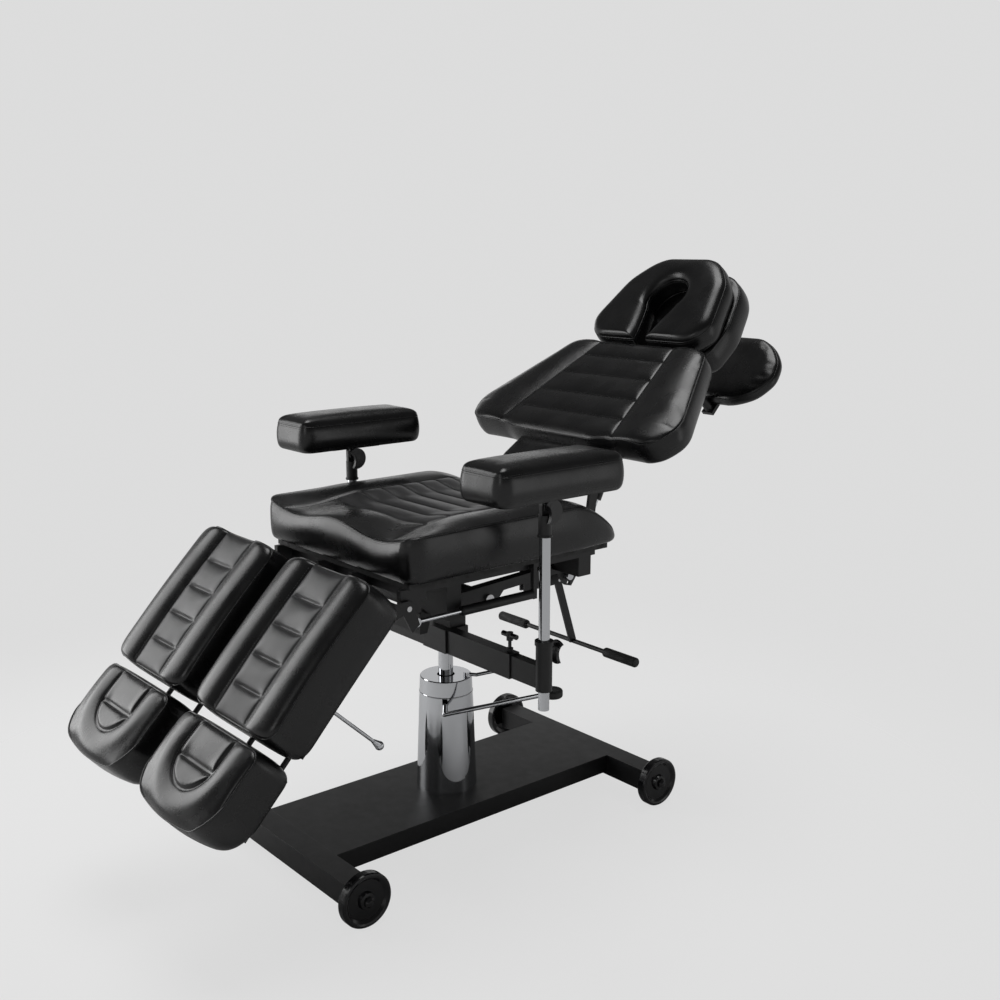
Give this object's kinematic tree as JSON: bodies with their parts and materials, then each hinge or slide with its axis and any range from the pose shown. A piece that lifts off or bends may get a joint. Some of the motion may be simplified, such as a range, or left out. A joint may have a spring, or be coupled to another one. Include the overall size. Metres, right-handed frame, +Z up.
{
  "type": "tattoo chair",
  "caption": "Hydraulic tattoo chair with split leg rests, adjustable armrests, reclining back, face cushion and arm shelf on a wheeled base.",
  "frame": {"origin": "on the floor, on the axis of the lift column", "axes": "+Z up, the sitter faces -Y, +X is the sitter's left"},
  "size_m": [0.9008, 1.9556, 1.3681],
  "materials": {
    "upholstery": "black smooth artificial leather, semi-gloss",
    "black_steel": "satin black powder coat",
    "chrome": "polished",
    "wheel_plastic": "glossy black",
    "grip_rubber": "matt black"
  },
  "bodies": {
    "base": {"base_channel": "black_steel", "cross_bars": "black_steel", "wheel_axles": "chrome", "column_shroud": "chrome", "pump_cylinder": "black_steel"},
    "wheel_front_left": {"wheel_front_left": "wheel_plastic"},
    "wheel_front_right": {"wheel_front_right": "wheel_plastic"},
    "wheel_rear_left": {"wheel_rear_left": "wheel_plastic"},
    "wheel_rear_right": {"wheel_rear_right": "wheel_plastic"},
    "pump": {"pump_lever": "chrome", "pedal_pad": "grip_rubber"},
    "swivel_lock": {"swivel_lock_lever": "chrome", "swivel_lock_grip": "grip_rubber"},
    "lift": {"lift_piston": "chrome"},
    "carriage": {"swivel_head": "black_steel", "tilt_shaft": "chrome"},
    "seat": {"seat_frame": "black_steel", "seat_board": "black_steel", "seat_cushion": "upholstery", "hinge_pins": "chrome", "leg_strut_cylinders": "black_steel"},
    "handle": {"recline_handle": "black_steel", "handle_grips": "grip_rubber"},
    "back": {"back_frame": "black_steel", "back_pad": "upholstery", "lumbar_pad": "upholstery", "back_strut_cylinders": "black_steel"},
    "back_rods": {"back_strut_rods": "chrome"},
    "head": {"head_bracket": "black_steel", "head_cushion": "upholstery", "face_cushion": "upholstery", "arm_shelf_pad": "upholstery"},
    "arm_slider_left": {"armrest_slider_left": "black_steel"},
    "slide_knob_left": {"slide_knob_left": "chrome"},
    "arm_post_left": {"armrest_post_left": "chrome"},
    "post_clamp_left": {"post_clamp_left": "chrome"},
    "arm_head_left": {"armrest_head_left": "black_steel"},
    "arm_pad_left": {"armrest_plate_left": "black_steel", "armrest_pad_left": "upholstery"},
    "tilt_clamp_left": {"tilt_clamp_left": "chrome"},
    "leg_left": {"leg_frame_left": "black_steel", "calf_pad_left": "upholstery"},
    "foot_left": {"foot_slide_left": "black_steel", "foot_pad_left": "upholstery"},
    "leg_lever_left": {"leg_lever_left": "chrome"},
    "leg_strut_left": {"leg_strut_rod_left": "chrome"},
    "arm_slider_right": {"armrest_slider_right": "black_steel"},
    "slide_knob_right": {"slide_knob_right": "chrome"},
    "arm_post_right": {"armrest_post_right": "chrome"},
    "post_clamp_right": {"post_clamp_right": "chrome"},
    "arm_head_right": {"armrest_head_right": "black_steel"},
    "arm_pad_right": {"armrest_plate_right": "black_steel", "armrest_pad_right": "upholstery"},
    "tilt_clamp_right": {"tilt_clamp_right": "chrome"},
    "leg_right": {"leg_frame_right": "black_steel", "calf_pad_right": "upholstery"},
    "foot_right": {"foot_slide_right": "black_steel", "foot_pad_right": "upholstery"},
    "leg_lever_right": {"leg_lever_right": "chrome"},
    "leg_strut_right": {"leg_strut_rod_right": "chrome"}
  },
  "joints": [
    {"name": "wheel_front_left_spin", "type": "hinge", "parent": "base", "child": "wheel_front_left", "pos_m": [0.3, -0.448, 0.061], "axis": [1, 0, 0], "continuous": true},
    {"name": "wheel_front_right_spin", "type": "hinge", "parent": "base", "child": "wheel_front_right", "pos_m": [-0.3, -0.448, 0.061], "axis": [1, 0, 0], "continuous": true},
    {"name": "wheel_rear_left_spin", "type": "hinge", "parent": "base", "child": "wheel_rear_left", "pos_m": [0.3, 0.448, 0.061], "axis": [1, 0, 0], "continuous": true},
    {"name": "wheel_rear_right_spin", "type": "hinge", "parent": "base", "child": "wheel_rear_right", "pos_m": [-0.3, 0.448, 0.061], "axis": [1, 0, 0], "continuous": true},
    {"name": "pump_pedal", "type": "hinge", "parent": "base", "child": "pump", "pos_m": [0.04596, -0.03857, 0.317], "axis": [-0.766, 0.6428, 0], "range_deg": [0, 15], "stiffness_Nm_per_rad": 4, "springref_deg": -40.11},
    {"name": "swivel_lock_turn", "type": "hinge", "parent": "base", "child": "swivel_lock", "pos_m": [0.048, 0.028, 0.379], "axis": [0, 0, 1], "range_deg": [0, 25]},
    {"name": "lift_slide", "type": "slide", "parent": "base", "child": "lift", "axis": [0, 0, 1], "range_m": [0, 0.17]},
    {"name": "swivel_turn", "type": "hinge", "parent": "lift", "child": "carriage", "pos_m": [0, 0, 0.47], "axis": [0, 0, 1], "continuous": true},
    {"name": "seat_tilt", "type": "hinge", "parent": "carriage", "child": "seat", "pos_m": [0, 0.012, 0.596], "axis": [-1, 0, 0], "range_deg": [0, 12]},
    {"name": "recline_handle_turn", "type": "hinge", "parent": "seat", "child": "handle", "pos_m": [0.03, 0.342, 0.56], "axis": [1, 0, 0], "range_deg": [-15, 15]},
    {"name": "back_recline", "type": "hinge", "parent": "seat", "child": "back", "pos_m": [0, 0.22, 0.64], "axis": [1, 0, 0], "range_deg": [-33, 28]},
    {"name": "back_strut_slide", "type": "slide", "parent": "back", "child": "back_rods", "axis": [0, -0.4533, -0.8914], "range_m": [-0.0705, 0.06]},
    {"name": "head_tilt", "type": "hinge", "parent": "back", "child": "head", "pos_m": [0, 0.705, 1.052], "axis": [1, 0, 0], "range_deg": [-35, 0]},
    {"name": "arm_left_width", "type": "slide", "parent": "carriage", "child": "arm_slider_left", "axis": [1, 0, 0], "range_m": [0, 0.1]},
    {"name": "slide_knob_left_turn", "type": "hinge", "parent": "carriage", "child": "slide_knob_left", "pos_m": [0.26, -0.015, 0.541], "axis": [0, 0, 1], "range_deg": [-45, 45]},
    {"name": "arm_left_height", "type": "slide", "parent": "arm_slider_left", "child": "arm_post_left", "axis": [0, 0, 1], "range_m": [-0.12, 0.08]},
    {"name": "post_clamp_left_turn", "type": "hinge", "parent": "arm_slider_left", "child": "post_clamp_left", "pos_m": [0.376, 0.0135, 0.536], "axis": [0, 1, 0], "range_deg": [-60, 60]},
    {"name": "arm_left_swing", "type": "hinge", "parent": "arm_post_left", "child": "arm_head_left", "pos_m": [0.376, -0.015, 0.8], "axis": [0, 0, 1], "range_deg": [0, 90]},
    {"name": "arm_left_tilt", "type": "hinge", "parent": "arm_head_left", "child": "arm_pad_left", "pos_m": [0.376, -0.015, 0.862], "axis": [1, 0, 0], "range_deg": [-30, 30]},
    {"name": "tilt_clamp_left_turn", "type": "hinge", "parent": "arm_pad_left", "child": "tilt_clamp_left", "pos_m": [0.389, -0.015, 0.862], "axis": [1, 0, 0], "range_deg": [-25, 25]},
    {"name": "leg_left_raise", "type": "hinge", "parent": "seat", "child": "leg_left", "pos_m": [0.16, -0.3, 0.66], "axis": [-1, 0, 0], "range_deg": [-20, 45]},
    {"name": "foot_left_reach", "type": "slide", "parent": "leg_left", "child": "foot_left", "axis": [0, -0.6833, -0.7302], "range_m": [0, 0.06]},
    {"name": "leg_lever_left_turn", "type": "hinge", "parent": "leg_left", "child": "leg_lever_left", "pos_m": [0.261, -0.49508, 0.48373], "axis": [1, 0, 0], "range_deg": [-20, 20]},
    {"name": "leg_strut_left_slide", "type": "slide", "parent": "seat", "child": "leg_strut_left", "axis": [0, -1, 0], "range_m": [-0.015, 0.0335]},
    {"name": "arm_right_width", "type": "slide", "parent": "carriage", "child": "arm_slider_right", "axis": [-1, 0, 0], "range_m": [0, 0.1]},
    {"name": "slide_knob_right_turn", "type": "hinge", "parent": "carriage", "child": "slide_knob_right", "pos_m": [-0.26, -0.015, 0.541], "axis": [0, 0, 1], "range_deg": [-45, 45]},
    {"name": "arm_right_height", "type": "slide", "parent": "arm_slider_right", "child": "arm_post_right", "axis": [0, 0, 1], "range_m": [-0.136, 0.064]},
    {"name": "post_clamp_right_turn", "type": "hinge", "parent": "arm_slider_right", "child": "post_clamp_right", "pos_m": [-0.376, 0.0135, 0.536], "axis": [0, 1, 0], "range_deg": [-60, 60]},
    {"name": "arm_right_swing", "type": "hinge", "parent": "arm_post_right", "child": "arm_head_right", "pos_m": [-0.376, -0.015, 0.816], "axis": [0, 0, 1], "range_deg": [0, 90]},
    {"name": "arm_right_tilt", "type": "hinge", "parent": "arm_head_right", "child": "arm_pad_right", "pos_m": [-0.376, -0.015, 0.878], "axis": [1, 0, 0], "range_deg": [-30, 30]},
    {"name": "tilt_clamp_right_turn", "type": "hinge", "parent": "arm_pad_right", "child": "tilt_clamp_right", "pos_m": [-0.363, -0.015, 0.878], "axis": [1, 0, 0], "range_deg": [-25, 25]},
    {"name": "leg_right_raise", "type": "hinge", "parent": "seat", "child": "leg_right", "pos_m": [-0.16, -0.3, 0.66], "axis": [-1, 0, 0], "range_deg": [-20, 45]},
    {"name": "foot_right_reach", "type": "slide", "parent": "leg_right", "child": "foot_right", "axis": [0, -0.6833, -0.7302], "range_m": [0, 0.06]},
    {"name": "leg_lever_right_turn", "type": "hinge", "parent": "leg_right", "child": "leg_lever_right", "pos_m": [-0.261, -0.49508, 0.48373], "axis": [1, 0, 0], "range_deg": [-20, 20]},
    {"name": "leg_strut_right_slide", "type": "slide", "parent": "seat", "child": "leg_strut_right", "axis": [0, -1, 0], "range_m": [-0.015, 0.0335]}
  ],
  "couplings": [
    {"joint": "back_strut_slide", "follows": "back_recline", "m_per_rad": 0.1215},
    {"joint": "leg_strut_left_slide", "follows": "leg_left_raise", "m_per_rad": 0.042},
    {"joint": "leg_strut_right_slide", "follows": "leg_right_raise", "m_per_rad": 0.042}
  ]
}
